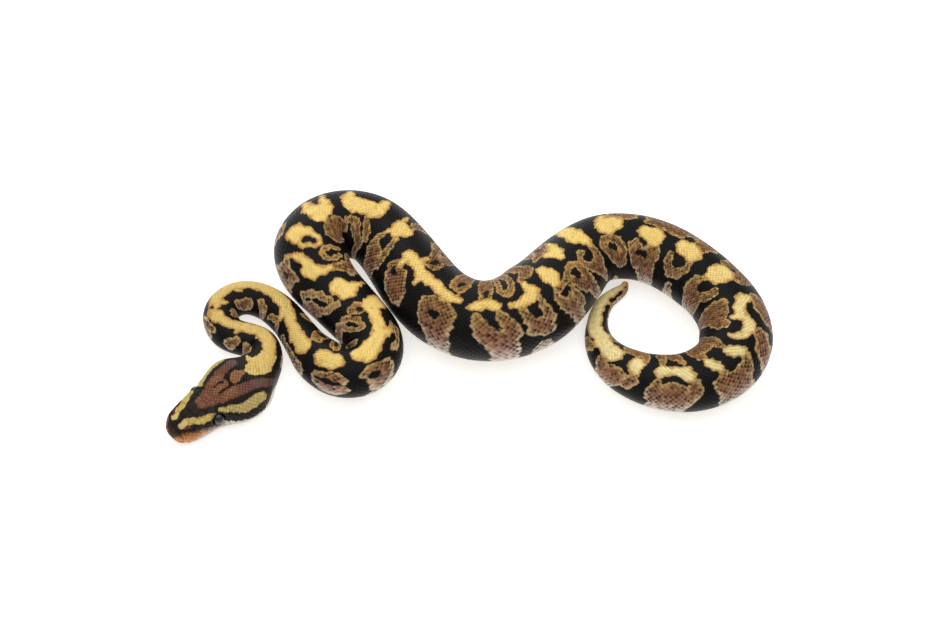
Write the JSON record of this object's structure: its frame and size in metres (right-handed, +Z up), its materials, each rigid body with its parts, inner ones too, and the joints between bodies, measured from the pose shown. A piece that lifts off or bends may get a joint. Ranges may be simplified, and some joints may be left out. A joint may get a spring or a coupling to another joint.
{
  "type": "ball python",
  "caption": "Young ball python lying at rest in loose bends and one wide loop on its belly, a life-size still display model of the whole animal",
  "frame": {"origin": "on the floor under the middle of the model's box", "axes": "+Z up from the belly; +X along the model's greatest length, from the head's end to the wide loop; +Y from the head's near side to the shoulder loop"},
  "size_m": [0.1644, 0.0808, 0.0205],
  "materials": {
    "scales": "smooth satin scales, near-black with yellow saddles, brown side blotches and a cream belly",
    "crown": "small satin head scales, dark red-brown crown with yellow stripes through the eyes",
    "eye": "wet gloss, near-black"
  },
  "bodies": {
    "root": {"head": "crown", "eye_left": "eye", "eye_right": "eye", "neck": "scales", "trunk_01": "scales", "trunk_02": "scales", "trunk_03": "scales", "trunk_04": "scales", "trunk_05": "scales", "trunk_06": "scales", "trunk_07": "scales", "trunk_08": "scales", "trunk_09": "scales", "trunk_10": "scales", "trunk_11": "scales", "tail": "scales"}
  },
  "joints": []
}
